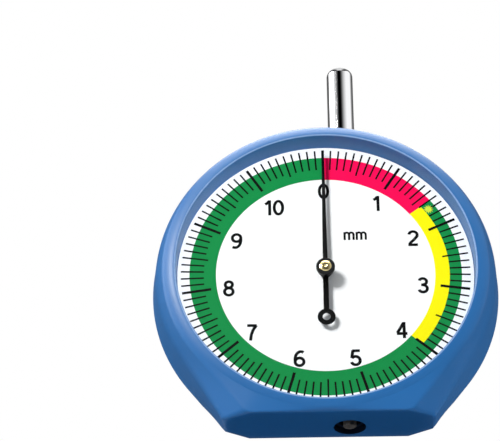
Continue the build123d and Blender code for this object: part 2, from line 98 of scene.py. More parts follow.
class Value:
    """An output of a node; arithmetic on values adds the Math nodes that work it out."""

    def __init__(self, wiring, socket):
        self.wiring = wiring
        self.socket = socket

    def _maths(self, operation, *values):
        return self.wiring.add("ShaderNodeMath", {"operation": operation}, values)

    def __add__(self, other): return self._maths("ADD", self, other)
    def __radd__(self, other): return self._maths("ADD", other, self)
    def __sub__(self, other): return self._maths("SUBTRACT", self, other)
    def __rsub__(self, other): return self._maths("SUBTRACT", other, self)
    def __mul__(self, other): return self._maths("MULTIPLY", self, other)
    def __rmul__(self, other): return self._maths("MULTIPLY", other, self)
    def __truediv__(self, other): return self._maths("DIVIDE", self, other)
    def __pow__(self, other): return self._maths("POWER", self, other)
    def __mod__(self, other): return self._maths("FLOORED_MODULO", self, other)
    def __gt__(self, other): return self._maths("GREATER_THAN", self, other)
    def __lt__(self, other): return self._maths("LESS_THAN", self, other)


class Wiring:
    """A tree of nodes that is built up one node at a time."""

    def __init__(self, tree):
        self.tree = tree
        tree.nodes.clear()

    def add(self, kind, settings=None, values=(), out=0):
        """Adds a node: its settings first, then the values or links of its sockets."""
        node = self.tree.nodes.new(kind)
        for key, value in (settings or {}).items():
            if key == "stops":
                stops = node.color_ramp.elements
                while len(stops) > 1:
                    stops.remove(stops[0])
                stops[0].position, stops[0].color = value[0]
                for place, colour in value[1:]:
                    stops.new(place).color = colour
            else:
                setattr(node, key, value)
        for key, value in (values.items() if isinstance(values, dict) else enumerate(values)):
            if isinstance(value, Value):
                self.tree.links.new(value.socket, node.inputs[key])
            elif value is not None:
                node.inputs[key].default_value = value
        return Value(self, node.outputs[out])

    def also(self, value, out):
        """Another output of the node that a value comes from."""
        return Value(self, value.socket.node.outputs[out])

    def end(self, kind, value):
        """Leads a value to the tree's output node."""
        self.tree.links.new(value.socket, self.tree.nodes.new(kind).inputs[0])


class Finish(Wiring):
    """The nodes of a new material, or of the world when that is given."""

    def __init__(self, name, owner=None):
        self.owner = owner or bpy.data.materials.new(name)
        self.owner.use_nodes = True
        super().__init__(self.owner.node_tree)

    def place(self):
        return self.add("ShaderNodeTexCoord", out="Object")

    def along(self, axis):
        """The X, Y or Z of a point on the piece, in metres."""
        return self.add("ShaderNodeSeparateXYZ", {}, [self.place()], out=axis)

    def grain(self, scale, detail=3.0, stretch=(1.0, 1.0, 1.0)):
        """Noise from 0 to 1 over the piece, stretched where a tool or a mould left streaks."""
        seen = self.add("ShaderNodeMapping", {}, {"Vector": self.place(), "Scale": stretch})
        return self.add("ShaderNodeTexNoise", {"noise_dimensions": "3D"},
                        {"Vector": seen, "Scale": scale, "Detail": detail, "Roughness": 0.6})

    def blend(self, mask, colour_a, colour_b):
        """Colour a where the mask is 0, b where it is 1."""
        colours = {0: mask, 6: colour_a, 7: colour_b}
        return self.add("ShaderNodeMix", {"data_type": "RGBA"}, colours, out=2)

    def relief(self, height, strength, depth=0.01 * MM):
        """Fine bumps in the surface, as deep as the depth where the height goes from 0 to 1."""
        bumps = {"Height": height, "Strength": strength, "Distance": depth}
        return self.add("ShaderNodeBump", {}, bumps)

    def body(self, **sockets):
        """The Principled shader; underscores in a name stand for its spaces."""
        values = {key.replace("_", " "): value for key, value in sockets.items()}
        return self.add("ShaderNodeBsdfPrincipled", {}, values)

    def done(self, shader, kind="ShaderNodeOutputMaterial"):
        self.end(kind, shader)
        return self.owner


def paint(red, green, blue):
    """A colour as a paint card gives it, 0 to 255, made linear."""
    parts = [value / 255 for value in (red, green, blue)]
    linear = [part / 12.92 if part <= 0.04045 else ((part + 0.055) / 1.055) ** 2.4 for part in parts]
    return (*linear, 1.0)


def case_plastic():
    f = Finish("blue_case_plastic")
    x, y, z = [f.along(axis) for axis in "XYZ"]
    broad = f.grain(70.0, 2.0)
    fine = f.grain(2600.0, 4.0)
    pores = f.grain(9000.0, 2.0)
    rubbed = (z < 0.5 * MM) * (f.grain(900.0, 5.0) > 0.66)
    tint = f.blend(broad, paint(24, 94, 155), paint(29, 100, 163))
    # Painted highlight: the inner edge of the crest is painted pale blue, standing in for the light this
    # edge catches
    highlight_start, highlight_end, highlight_depth = dial_bore + 0.04 * MM, dial_bore + 0.32 * MM, -3.0 * MM
    up = z - dial_height
    radius = (x * x + up * up) ** 0.5
    edge = (radius > highlight_start) * (radius < highlight_end) * (y < highlight_depth)
    tint = f.blend(edge * (0.22 + fine * 0.4), tint, paint(168, 194, 230))
    # Painted shade: the inside of the hole in the foot is painted almost black, standing in for the shade
    # in the hole
    painted_shade_radius, painted_shade_low, painted_shade_high = 2.8 * MM, 0.02 * MM, 6.0 * MM
    off_x, off_y = x - rod_x, y - rod_y
    off = (off_x * off_x + off_y * off_y) ** 0.5
    painted_shade = (off < painted_shade_radius) * (z < painted_shade_high) * (z > painted_shade_low)
    colour = f.blend(painted_shade * 0.94, f.blend(rubbed * 0.1, tint, paint(80, 126, 180)), paint(14, 14, 16))
    return f.done(f.body(Base_Color=colour, Roughness=0.36 + fine * 0.10 + rubbed * 0.15,
                         Normal=f.relief(fine * 0.7 + pores * 0.3, 0.10, 0.02 * MM),
                         Coat_Weight=0.03 + broad * 0.03, Coat_Roughness=0.22, Specular_IOR_Level=0.35))


def new_object(name, data):
    """An object made from a mesh, a lamp or a camera, put in the scene."""
    made = bpy.data.objects.new(name, data)
    bpy.context.scene.collection.objects.link(made)
    return made


def piece_from(name, mesh_maker, material, body, smooth=30):
    """Turns a bmesh into a finished object that rides on a body."""
    mesh = bpy.data.meshes.new(name)
    bmesh.ops.remove_doubles(mesh_maker, verts=mesh_maker.verts, dist=weld)
    bmesh.ops.dissolve_degenerate(mesh_maker, edges=mesh_maker.edges, dist=weld / 2)
    bmesh.ops.recalc_face_normals(mesh_maker, faces=mesh_maker.faces)
    mesh_maker.to_mesh(mesh)
    mesh_maker.free()
    mesh.polygons.foreach_set("use_smooth", [True] * len(mesh.polygons))
    mesh.set_sharp_from_angle(angle=radians(smooth))
    mesh.materials.append(material)
    piece = new_object(name, mesh)
    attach(piece, body)
    return piece


def join_rings(maker, rings, closed=True):
    """Skins a row of rings of points. The last one joins the first, or else both ends get a face."""
    grid = [[maker.verts.new(point) for point in ring] for ring in rings]
    for ring, following in zip(grid, grid[1:] + (grid[:1] if closed else [])):
        for index in range(len(ring)):
            after = (index + 1) % len(ring)
            maker.faces.new((ring[index], ring[after], following[after], following[index]))
    if not closed:
        maker.faces.new(grid[0])
        maker.faces.new(grid[-1])


def outline_points(radius, flank, foot_corner, foot_steps=10, corner_steps=8, flank_steps=8,
                   round_steps=90):
    """Half an outline from the middle of the foot, round its corner and flank, to the top."""
    drop = dial_height - foot_corner
    centre_x = (radius - foot_corner - drop * cos(flank)) / sin(flank)
    points = [(centre_x * step / foot_steps, -dial_height) for step in range(foot_steps)]
    for step in range(corner_steps + 1):
        turn = flank * step / corner_steps
        points.append((centre_x + foot_corner * sin(turn), -drop - foot_corner * cos(turn)))
    low_x, low_z = points[-1]
    high_x, high_z = radius * sin(flank), -radius * cos(flank)
    for step in range(1, flank_steps + 1):
        points.append((low_x + (high_x - low_x) * step / flank_steps,
                       low_z + (high_z - low_z) * step / flank_steps))
    for step in range(1, round_steps + 1):
        turn = (pi - flank) * (1 - step / round_steps)
        points.append((radius * sin(turn), radius * cos(turn)))
    return points


def soften(profile, cuts, steps=6, most=0.48):
    """Rounds a profile's corners. A cut says how far, up to a share of each side that it may take."""
    rounded = [profile[0]]
    for before, corner, after, cut in zip(profile, profile[1:], profile[2:], cuts):
        ends = []
        for side in (before - corner, after - corner):
            share = min(cut, side.length * most) / side.length if side.length > nothing else 0
            ends.append(corner + side * share)
        for step in range(steps + 1):
            t = step / steps
            rounded.append(ends[0] * (1 - t) ** 2 + corner * 2 * t * (1 - t) + ends[1] * t ** 2)
    rounded.append(profile[-1])
    return rounded


right_halves = [outline_points(radius, flank, corner) for _, radius, flank, _, corner in outlines]
columns = [[Vector((x, outline[0], dial_height + z)) for (x, z), outline in zip(points, outlines)]
           for points in zip(*right_halves)]
columns += [[Vector((-p.x, p.y, p.z)) for p in column] for column in columns[-2:0:-1]]
# Inner circles from the cover seat in to the chamber, over the floor and out to the crest
lathe_profile = [
    (cover_seat, case_back_y), (cover_seat, cover_y), (chamber_radius, cover_y),
    (chamber_radius, chamber_y), (staff_hole, chamber_y), (staff_hole, floor_y),
    (dial_bore, floor_y), (dial_bore, crest_y + crest_round),
]
# The crest is highest at its inner edge and falls off faster and faster to the slope of the rim
crest_start = dial_bore + crest_round
round_steps, fall_steps, fall_power = 4, 14, 1.7
for step in range(1, round_steps + 1):
    turn = pi / 2 * step / round_steps
    lathe_profile.append((dial_bore + crest_round * (1 - cos(turn)),
                          crest_y + crest_round * (1 - sin(turn))))
for step in range(1, fall_steps + 1):
    across = step / fall_steps
    lathe_profile.append((crest_start + (crest_end - crest_start) * across,
                          crest_y + crest_drop * across ** fall_power))
# The creases are crispest at the foot and reach their full softness some way above it
crisp_height, softening_height, crisp_share = 1 * MM, 9 * MM, 0.4
rows = []
for column in columns:
    angle = atan2(column[0].x, column[0].z - dial_height)
    circle = [Vector((radius * sin(angle), y, dial_height + radius * cos(angle)))
              for radius, y in lathe_profile]
    rise = min(1.0, max(0.0, (column[1].z - crisp_height) / softening_height))
    cuts = [softness * (crisp_share + (1 - crisp_share) * rise) for _, _, _, softness, _ in outlines]
    skin = soften([circle[-1]] + column + [circle[0]], cuts)
    rows.append(skin[:-1] + circle[:-1])
maker = bmesh.new()
join_rings(maker, [list(ring) for ring in zip(*rows)])
bmesh.ops.remove_doubles(maker, verts=maker.verts, dist=weld)


def plane_off(maker, point, normal):
    """Cuts away what lies outside a plane and closes the cut with a flat."""
    everything = maker.verts[:] + maker.edges[:] + maker.faces[:]
    cut = bmesh.ops.bisect_plane(maker, geom=everything, plane_co=point, plane_no=normal,
                                 clear_outer=True, dist=weld / 2)
    rim = [item for item in cut["geom_cut"] if isinstance(item, bmesh.types.BMEdge)]
    bmesh.ops.contextual_create(maker, geom=rim)


def round_edge(maker, on_edge, normal_a, normal_b, radius, flats=4):
    """Rounds the edge between two planes by a row of narrow flats."""
    axis = on_edge - (normal_a + normal_b) * (radius / (1 + normal_a.dot(normal_b)))
    for step in range(1, flats + 1):
        tilt = normal_a.lerp(normal_b, step / (flats + 1)).normalized()
        plane_off(maker, axis + tilt * radius, tilt)


def flank_top(outline, side):
    """The point where an outline's flank meets its round part."""
    y, radius, flank, _, _ = outline
    return Vector((radius * sin(flank) * side, y, dial_height - radius * cos(flank)))


third, fourth = outlines[2:]
for side in (-1, 1):
    low_rear = Vector((side * rear_cut_low, case_back_y, 0))
    low_side = Vector((side * side_cut_low, third[0], 0))
    high_rear = Vector((side * rear_cut_high[0], case_back_y, rear_cut_high[1]))
    slant = (low_side - low_rear).cross(high_rear - low_rear).normalized()
    slant *= 1 if slant.y > 0 else -1
    flank = (flank_top(third, side) - low_side).cross(flank_top(fourth, side) - low_side).normalized()
    flank *= 1 if flank.x * side > 0 else -1
    plane_off(maker, low_rear, slant)
    round_edge(maker, low_rear, Vector((0, 0, -1)), slant, foot_edge_round)
    round_edge(maker, low_side, flank, slant, side_edge_round)
case = piece_from("case_moulding", maker, case_plastic(), "case")


def plain_shape(name, build, **sizes):
    """An object of one plain shape; build is the bmesh operation that makes it."""
    mesh = bpy.data.meshes.new(name)
    shape = bmesh.new()
    build(shape, **sizes)
    shape.to_mesh(mesh)
    shape.free()
    return new_object(name, mesh)


def bar(name, centre, radius, length, axis, sides=48):
    """A round bar along an axis, used as a drill or as a boss."""
    turn = {"y": Matrix.Rotation(pi / 2, 4, "X"), "z": Matrix.Identity(4)}[axis]
    return plain_shape(name, bmesh.ops.create_cone, cap_ends=True, segments=sides, radius1=radius,
                       radius2=radius, depth=length, matrix=Matrix.Translation(centre) @ turn)


def block(name, low, high):
    """A block between two corners, used as a milling cut."""
    size = Vector(high) - Vector(low)
    place = Matrix.Translation((Vector(low) + Vector(high)) / 2) @ Matrix.Diagonal((*size, 1.0))
    return plain_shape(name, bmesh.ops.create_cube, size=1.0, matrix=place)


def apply_modifiers(piece):
    """Turns what a piece's modifiers make into its plain mesh."""
    result = bpy.data.meshes.new_from_object(piece.evaluated_get(bpy.context.evaluated_depsgraph_get()))
    piece.modifiers.clear()
    old = piece.data
    piece.data = result
    bpy.data.meshes.remove(old)


def machine(piece, tool, operation):
    """Cuts or joins a tool into a piece and throws the tool away."""
    step = piece.modifiers.new("machining", "BOOLEAN")
    step.operation = operation
    step.solver = "EXACT"
    step.object = tool
    apply_modifiers(piece)
    spare = tool.data
    bpy.data.objects.remove(tool)
    bpy.data.meshes.remove(spare)


# The slot in the floor that the plunger runs in, and the holes of the dial's feet
slot_half, slot_reach, overcut = bush_bore + 0.10 * MM, 22.7 * MM, 0.05 * MM
machine(case, block("slot", (rod_x - slot_half, floor_y - overcut, dial_height - slot_reach),
                    (rod_x + slot_half, chamber_y + overcut, dial_height + slot_reach)), "DIFFERENCE")
dial_foot_x, dial_foot_drop = 19.0 * MM, 6.0 * MM
dial_foot_radius, dial_foot_drill = 0.61 * MM, 1.4 * MM
for side in (-1, 1):
    foot = Vector((side * dial_foot_x, (floor_y + chamber_y) / 2, dial_height - dial_foot_drop))
    machine(case, bar("dial_foot_hole", foot, dial_foot_radius, dial_foot_drill, "y", 24), "DIFFERENCE")
# Bosses of the cover screws, each with a pilot hole from the rear
screw_circle, boss_radius, boss_sink = 22.15 * MM, 1.9 * MM, 0.02 * MM
pilot_radius, pilot_length, pilot_shift = 0.7 * MM, 4.5 * MM, 1.0 * MM
for turn in (45, 135, 225, 315):
    place = Vector((screw_circle * cos(radians(turn)), (chamber_y + cover_y) / 2,
                    dial_height + screw_circle * sin(radians(turn))))
    machine(case, bar("boss", place, boss_radius, cover_y - chamber_y + boss_sink, "y"), "UNION")
    pilot = place + Vector((0, pilot_shift, 0))
    machine(case, bar("pilot", pilot, pilot_radius, pilot_length, "y"), "DIFFERENCE")
# The bores of the plunger's two bushes and the hole in the foot: middle, radius, length and sides
for name, middle_z, radius, length, sides in (
        ("top_bore", bush_high.z, bush_bore, 20 * MM, 72),
        ("foot_bore", 2 * MM, (foot_bush_high.x - foot_bush_low.x) / 2, 10 * MM, 48),
        ("foot_hole", 0, 2.75 * MM, 2 * foot_bush_low.z, 72)):
    machine(case, bar(name, Vector((rod_x, rod_y, middle_z)), radius, length, "z", sides), "DIFFERENCE")
# One sliver of a face that the cuts leave open beside a boss is closed
maker = bmesh.new()
maker.from_mesh(case.data)
closed = bmesh.ops.holes_fill(maker, edges=maker.edges, sides=4)["faces"]
bmesh.ops.recalc_face_normals(maker, faces=closed)
maker.to_mesh(case.data)
maker.free()
case.data.set_sharp_from_angle(angle=radians(30))
case.modifiers.new("even_shading", "WEIGHTED_NORMAL").keep_sharp = True
apply_modifiers(case)
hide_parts("case_body")

# ---------------------------------------------------------------------------------------------
# Guide bushes of the plunger and bearings of the pointer's staff. Turned from brass, pressed
# into the case or the movement plates, with fine tool marks round them.


def wear(name, material):
    """Puts a finish on a node of the CAD model."""
    nodes[name].data.materials.clear()
    nodes[name].data.materials.append(material)


def turned_metal(name, light, dark, roughness, axis_z=True):
    f = Finish(name)
    streaks = f.grain(500.0, 4.0, (1.0, 1.0, 14.0) if axis_z else (1.0, 14.0, 1.0))
    stain = f.grain(160.0, 3.0)
    colour = f.blend(stain * 0.6 + streaks * 0.2, light, dark)
    return f.done(f.body(Base_Color=colour, Metallic=1.0, Roughness=roughness + streaks * 0.14,
                         Normal=f.relief(streaks, 0.12)))


brass = turned_metal("turned_brass", paint(226, 196, 120), paint(176, 134, 62), 0.22)
wear("upper_guide_bush", brass)
# Painted shade: the lower bush gets dark brass colours, standing in for the shade deep in the foot's hole
wear("lower_guide_bush", turned_metal("grimy_bush_brass", paint(58, 50, 40), paint(34, 30, 26), 0.45))
staff_brass = turned_metal("staff_bearing_brass", paint(222, 190, 112), paint(170, 128, 58), 0.20, False)
wear("front_staff_bush", staff_brass)
wear("rear_staff_bush", staff_brass)

# ---------------------------------------------------------------------------------------------
# Movement. A brass plate screwed to the case floor, three pillars and a rear bridge hold the
# pointer's staff. Stamped from sheet and brushed lengthwise; screws are blackened steel.


def brushed_sheet(name, light, dark):
    f = Finish(name)
    strokes = f.grain(260.0, 5.0, (22.0, 1.0, 1.0))
    cloud = f.grain(120.0, 2.0)
    colour = f.blend(strokes * 0.5 + cloud * 0.4, light, dark)
    return f.done(f.body(Base_Color=colour, Metallic=1.0, Roughness=0.26 + strokes * 0.20,
                         Normal=f.relief(strokes, 0.15)))


def screw_steel():
    f = Finish("blackened_screw_steel")
    marks = f.grain(1500.0, 4.0)
    colour = f.blend(marks, paint(74, 76, 80), paint(118, 120, 124))
    return f.done(f.body(Base_Color=colour, Metallic=1.0, Roughness=0.28 + marks * 0.18,
                         Normal=f.relief(marks, 0.10)))


plate_brass = brushed_sheet("brushed_plate_brass", paint(220, 190, 118), paint(184, 150, 84))
black_steel = screw_steel()
for name in ("movement_plate", "movement_bridge", "bridge_pillars"):
    wear(name, plate_brass)
for name in ("plate_screws", "bridge_screws", "channel_screws"):
    wear(name, black_steel)
wear("guide_channel", brushed_sheet("brushed_channel_steel", paint(188, 190, 194), paint(142, 144, 150)))

# ---------------------------------------------------------------------------------------------
# Pinion and staff. Hardened steel, ground bright; the pinion's eleven teeth mesh with the rack
# of the plunger, so that eleven millimetres of travel turn the pointer once.


def ground_steel(name, streak, light=(214, 216, 220), dark=(158, 161, 168), roughness=0.16):
    f = Finish(name)
    lines = f.grain(700.0, 4.0, streak)
    colour = f.blend(lines, paint(*light), paint(*dark))
    return f.done(f.body(Base_Color=colour, Metallic=1.0, Roughness=roughness + lines * 0.14,
                         Normal=f.relief(lines, 0.08)))


bright_steel = ground_steel("ground_staff_steel", (1.0, 12.0, 1.0))
wear("pinion", bright_steel)
wear("pointer_staff", bright_steel)

# ---------------------------------------------------------------------------------------------
# Plunger. A chromed steel rod with a domed end, its rack milled in the left side. Hand oil dulls
# the chrome a little in faint streaks along it.


def rod_chrome():
    f = Finish("plunger_chrome")
    wipe = f.grain(240.0, 3.0, (1.0, 1.0, 0.12))
    pits = f.grain(5200.0, 2.0) > 0.71
    colour = f.blend(wipe * 0.4 + pits * 0.3, paint(251, 251, 252), paint(236, 237, 241))
    return f.done(f.body(Base_Color=colour, Metallic=1.0, Roughness=0.035 + wipe * 0.03,
                         Normal=f.relief(wipe, 0.015)))


wear("plunger_rod", rod_chrome())
wear("guide_pin", bright_steel)
wear("retaining_clip", ground_steel("spring_steel_clip", (6.0, 6.0, 1.0), (120, 122, 128), (84, 86, 92),
                                    0.30))


def washer_rubber():
    f = Finish("bumper_rubber")
    dust = f.grain(1800.0, 4.0)
    colour = f.blend(dust, paint(24, 24, 26), paint(52, 52, 54))
    return f.done(f.body(Base_Color=colour, Roughness=0.65 + dust * 0.2,
                         Normal=f.relief(dust, 0.25, 0.02 * MM)))


wear("bumper_washer", washer_rubber())

# ---------------------------------------------------------------------------------------------
# Probe. A thin steel pin in the plunger's lower end that comes out of the foot. Its tip is
# rubbed dull and grey-brown by rubber and road dirt.


def probe_steel():
    f = Finish("worn_probe_steel")
    lines = f.grain(900.0, 4.0, (1.0, 1.0, 0.2))
    dirty_end = 3.5 * MM
    dirt = (f.grain(1400.0, 4.0) > 0.42) * (f.along("Z") < dirty_end)
    metal = f.blend(lines, paint(196, 196, 198), paint(148, 148, 152))
    colour = f.blend(dirt * 0.55, metal, paint(96, 84, 70))
    return f.done(f.body(Base_Color=colour, Metallic=1.0 - dirt * 0.35,
                         Roughness=0.26 + lines * 0.15 + dirt * 0.2, Normal=f.relief(lines, 0.10)))


wear("probe_pin", probe_steel())

# ---------------------------------------------------------------------------------------------
# Return spring. Coiled steel wire round the probe, with a closed coil at each end. It stands in
# the case and pushes the plunger back up; as the plunger is pressed, it gets shorter with it.

spring_low, spring_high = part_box("return_spring")
wire = 0.20 * MM
coil = (spring_high.x - spring_low.x) / 2 - wire
coils, coil_steps, wire_sides = 9, 40, 10
closed_rise = 2.1 * wire
open_rise = (spring_high.z - spring_low.z - 2 * wire - 2 * closed_rise) / (coils - 2)
rings = []
for step in range(coils * coil_steps + 1):
    done = step / coil_steps
    height = (closed_rise * min(done, 1.0) + open_rise * min(max(done - 1.0, 0.0), coils - 2)
              + closed_rise * max(done - coils + 1.0, 0.0))
    outward = Vector((cos(2 * pi * done), sin(2 * pi * done), 0))
    middle = Vector((rod_x, rod_y, spring_low.z + wire + height)) + outward * coil
    rings.append([middle + (outward * cos(turn) + Vector((0, 0, 1)) * sin(turn)) * wire
                  for turn in [2 * pi * side / wire_sides for side in range(wire_sides)]])
maker = bmesh.new()
join_rings(maker, rings, False)
spring_steel = ground_steel("spring_wire", (4.0, 4.0, 4.0), (186, 188, 194), (132, 134, 142), 0.24)
spring = piece_from("coil_spring", maker, spring_steel, "case", 60)
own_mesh(spring)
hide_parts("return_spring")

# ---------------------------------------------------------------------------------------------
# Back cover. A plain disc of the same plastic, let in flush with the case and held by four
# countersunk screws.


def cover_plastic():
    f = Finish("blue_cover_plastic")
    broad = f.grain(60.0, 2.0)
    pebble = f.grain(3600.0, 3.0)
    scuffs = f.grain(900.0, 6.0, (1.0, 1.0, 9.0)) > 0.66
    colour = f.blend(broad, paint(31, 99, 161), paint(37, 106, 170))
    return f.done(f.body(Base_Color=f.blend(scuffs * 0.2, colour, paint(110, 150, 200)),
                         Roughness=0.40 + pebble * 0.12 - scuffs * 0.05,
                         Normal=f.relief(pebble, 0.16, 0.03 * MM)))


wear("back_cover", cover_plastic())
wear("cover_screws", ground_steel("nickel_screws", (5.0, 1.0, 1.0), (206, 206, 204), (160, 160, 160),
                                  0.20))

# ---------------------------------------------------------------------------------------------
# Dial. A white disc in the case's seat, printed with a coloured band, 110 ticks of a tenth of a
# millimetre, the numbers 0 to 10 and the unit. Each ink lies as a thin film on the disc.

dial_face_y = 0.0
ink_lift = 0.006 * MM
band_inner = 19.18 * MM
band_middle = 21.70 * MM
band_outer = 23.83 * MM
tick_outer = 25.35 * MM
number_radius = 17.10 * MM
number_drop = 0.32 * MM
wide_number_inset = 0.65 * MM
# Readings where the red and the yellow end, and the whole scale; a tick for each tenth
red_end, yellow_end, full_scale = 1.6, 4.0, 11.0
scale_steps, steps_a_whole = 110, 10


def dial_enamel():
    f = Finish("white_dial_enamel")
    paper = f.grain(2200.0, 4.0)
    cloud = f.grain(90.0, 2.0)
    colour = f.blend(cloud * 0.6 + paper * 0.2, paint(250, 250, 250), paint(246, 247, 248))
    return f.done(f.body(Base_Color=colour, Roughness=0.42 + paper * 0.10, Normal=f.relief(paper, 0.05)))


def ink(name, colour, thin):
    """Screen ink; thin is the colour where the film is thinner."""
    f = Finish(name)
    film = f.grain(1500.0, 5.0)
    flow = f.grain(180.0, 2.0)
    return f.done(f.body(Base_Color=f.blend(film * 0.5 + flow * 0.3, paint(*colour), paint(*thin)),
                         Roughness=0.46 + film * 0.12, Normal=f.relief(film, 0.06, 0.008 * MM),
                         Specular_IOR_Level=0.06))


wear("dial_plate", dial_enamel())
green_ink = ink("green_ink", (12, 134, 66), (20, 142, 72))
red_ink = ink("red_ink", (246, 0, 80), (250, 8, 88))
yellow_ink = ink("yellow_ink", (252, 243, 8), (250, 238, 4))
black_ink = ink("black_ink", (4, 4, 5), (12, 12, 13))


def dial_point(radius, reading, lift):
    """A point of the dial: its radius, what the pointer would read there, height over the face."""
    turn = 2 * pi * reading / full_scale
    return Vector((radius * sin(turn), dial_face_y - lift, dial_height + radius * cos(turn)))


def band(name, inner, outer, start, end, material, steps_a_reading=33):
    """A sector of the printed band between two readings."""
    steps = int((end - start) * steps_a_reading)
    rows = []
    for step in range(steps + 1):
        reading = start + (end - start) * step / steps
        rows.append([dial_point(radius, reading, lift) for radius, lift in
                     ((inner, 0), (outer, 0), (outer, ink_lift), (inner, ink_lift))])
    maker = bmesh.new()
    join_rings(maker, rows, False)
    return piece_from(name, maker, material, "case")


dial_pieces = [
    nodes["dial_plate"],
    band("red_band", band_inner, band_outer, 0.0, red_end, red_ink),
    band("yellow_band", band_inner, band_middle, red_end, yellow_end, yellow_ink),
    band("green_band_outer", band_middle, band_outer, red_end, yellow_end, green_ink),
    band("green_band", band_inner, band_outer, yellow_end, full_scale, green_ink),
]

# Ticks by geometry nodes: one bar for each tenth, longer and broader at halves and wholes. The
# yellow band covers the inner ends of its tenths.
ticks = Wiring(bpy.data.node_groups.new("dial_ticks", "GeometryNodeTree"))
for label, kind, value in (
        ("Ticks", "Int", scale_steps), ("Ticks a Whole", "Int", steps_a_whole),
        ("Ticks a Half", "Int", steps_a_whole // 2), ("Outer Radius", "Float", tick_outer),
        ("Tenth Length", "Float", 4.05 * MM), ("Half Length", "Float", 4.60 * MM),
        ("Whole Length", "Float", 5.15 * MM), ("Covered Length", "Float", tick_outer - band_middle),
        ("Cover Start", "Float", red_end * steps_a_whole),
        ("Cover End", "Float", yellow_end * steps_a_whole), ("Tenth Width", "Float", 0.31 * MM),
        ("Whole Width", "Float", 0.50 * MM), ("Ink Depth", "Float", 2 * ink_lift),
        ("Dial Height", "Float", dial_height), ("Ink", "Material", None)):
    socket = ticks.tree.interface.new_socket(label, in_out="INPUT", socket_type="NodeSocket" + kind)
    if value is not None:
        socket.default_value = value
ticks.tree.interface.new_socket("Geometry", in_out="OUTPUT", socket_type="NodeSocketGeometry")
given = {socket.name: Value(ticks, socket) for socket in ticks.tree.nodes.new("NodeGroupInput").outputs}
count = ticks.add("GeometryNodeInputIndex")
is_whole = count % given["Ticks a Whole"] < 0.5
is_half = count % given["Ticks a Half"] < 0.5
is_covered = (count > given["Cover Start"]) * (count < given["Cover End"])
tenth_length = given["Tenth Length"] - is_covered * (given["Tenth Length"] - given["Covered Length"])
tick_length = (tenth_length + is_half * (given["Half Length"] - tenth_length)
               + is_whole * (given["Whole Length"] - given["Half Length"]))
tick_width = given["Tenth Width"] + is_whole * (given["Whole Width"] - given["Tenth Width"])
angle = count * (2 * pi) / given["Ticks"]
sine, cosine = [ticks.add("ShaderNodeMath", {"operation": name}, [angle]) for name in ("SINE", "COSINE")]
middle = given["Outer Radius"] - tick_length * 0.5
spot = ticks.add("ShaderNodeCombineXYZ", {}, [middle * sine, given["Ink Depth"] * -0.5,
                                              given["Dial Height"] + middle * cosine])
size = ticks.add("ShaderNodeCombineXYZ", {}, [tick_width, given["Ink Depth"], tick_length])
lean = ticks.add("ShaderNodeCombineXYZ", {}, {"Y": angle})
points = ticks.add("GeometryNodePoints", {}, {"Count": given["Ticks"], "Position": spot})
tick = ticks.add("GeometryNodeMeshCube", {}, {"Size": (1.0, 1.0, 1.0)})
spread = ticks.add("GeometryNodeInstanceOnPoints", {}, {"Points": points, "Instance": tick,
                                                        "Rotation": lean, "Scale": size})
real = ticks.add("GeometryNodeRealizeInstances", {}, {"Geometry": spread})
inked = ticks.add("GeometryNodeSetMaterial", {}, {"Geometry": real, "Material": given["Ink"]})
ticks.end("NodeGroupOutput", inked)


def grow(name, tree, inputs, body):
    """Runs a geometry nodes tree once and keeps what it makes as a plain mesh."""
    piece = new_object(name, bpy.data.meshes.new(name))
    maker = piece.modifiers.new(name, "NODES")
    maker.node_group = tree
    sockets = {item.name: item.identifier for item in tree.interface.items_tree if item.in_out == "INPUT"}
    for label, value in inputs.items():
        maker[sockets[label]] = value
    apply_modifiers(piece)
    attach(piece, body)
    return piece


dial_pieces.append(grow("scale_ticks", ticks.tree, {"Ticks": scale_steps, "Outer Radius": tick_outer,
                                                    "Ink": black_ink}, "case"))


def bow(x, y, across, tall, start, end, degrees_a_step=9):
    """Points of an arc of an ellipse; the angles are in degrees, 0 to the right, 90 up."""
    steps = int(abs(end - start) / degrees_a_step)
    turns = [radians(start + (end - start) * step / steps) for step in range(steps + 1)]
    return [(x + across * cos(turn), y + tall * sin(turn)) for turn in turns]


# Centre lines of the strokes of each sign, one unit high and about 0.6 wide, and how far the pen
# goes on after the signs that are narrower or wider than most
six = [bow(0.30, 0.305, 0.225, 0.235, 0, 360), bow(0.375, 0.45, 0.30, 0.48, 195, 62)]
signs = {
    "0": [bow(0.30, 0.50, 0.225, 0.43, 0, 360)],
    "1": [[(0.09, 0.73), (0.20, 0.80), (0.29, 0.93)], [(0.33, 1.0), (0.33, 0.0)]],
    "2": [bow(0.30, 0.71, 0.22, 0.22, 172, -32) + [(0.33, 0.39), (0.17, 0.23), (0.09, 0.09)],
          [(0.03, 0.07), (0.54, 0.07)]],
    "3": [bow(0.28, 0.735, 0.20, 0.195, 160, -90), bow(0.28, 0.295, 0.225, 0.225, 90, -162),
          [(0.19, 0.53), (0.29, 0.53)]],
    "4": [[(0.40, 0.95), (0.065, 0.33)], [(0.03, 0.29), (0.58, 0.29)], [(0.42, 1.0), (0.42, 0.0)]],
    "5": [[(0.12, 0.93), (0.52, 0.93)], [(0.155, 0.95), (0.095, 0.48)],
          bow(0.29, 0.325, 0.23, 0.255, 145, -160)],
    "6": six,
    "7": [[(0.04, 0.93), (0.54, 0.93)], [(0.52, 0.93), (0.36, 0.68), (0.26, 0.38), (0.21, 0.0)]],
    "8": [bow(0.30, 0.735, 0.19, 0.195, 0, 360), bow(0.30, 0.295, 0.225, 0.225, 0, 360)],
    "9": [[(0.60 - x, 1.0 - y) for x, y in stroke] for stroke in six],
    "m": [[(0.07, 0.0), (0.07, 0.98)], bow(0.29, 0.64, 0.22, 0.27, 180, 0) + [(0.51, 0.0)],
          bow(0.73, 0.64, 0.22, 0.27, 180, 0) + [(0.95, 0.0)]],
}
usual_advance = 0.68
advances = {"1": 0.50, "m": 1.20}


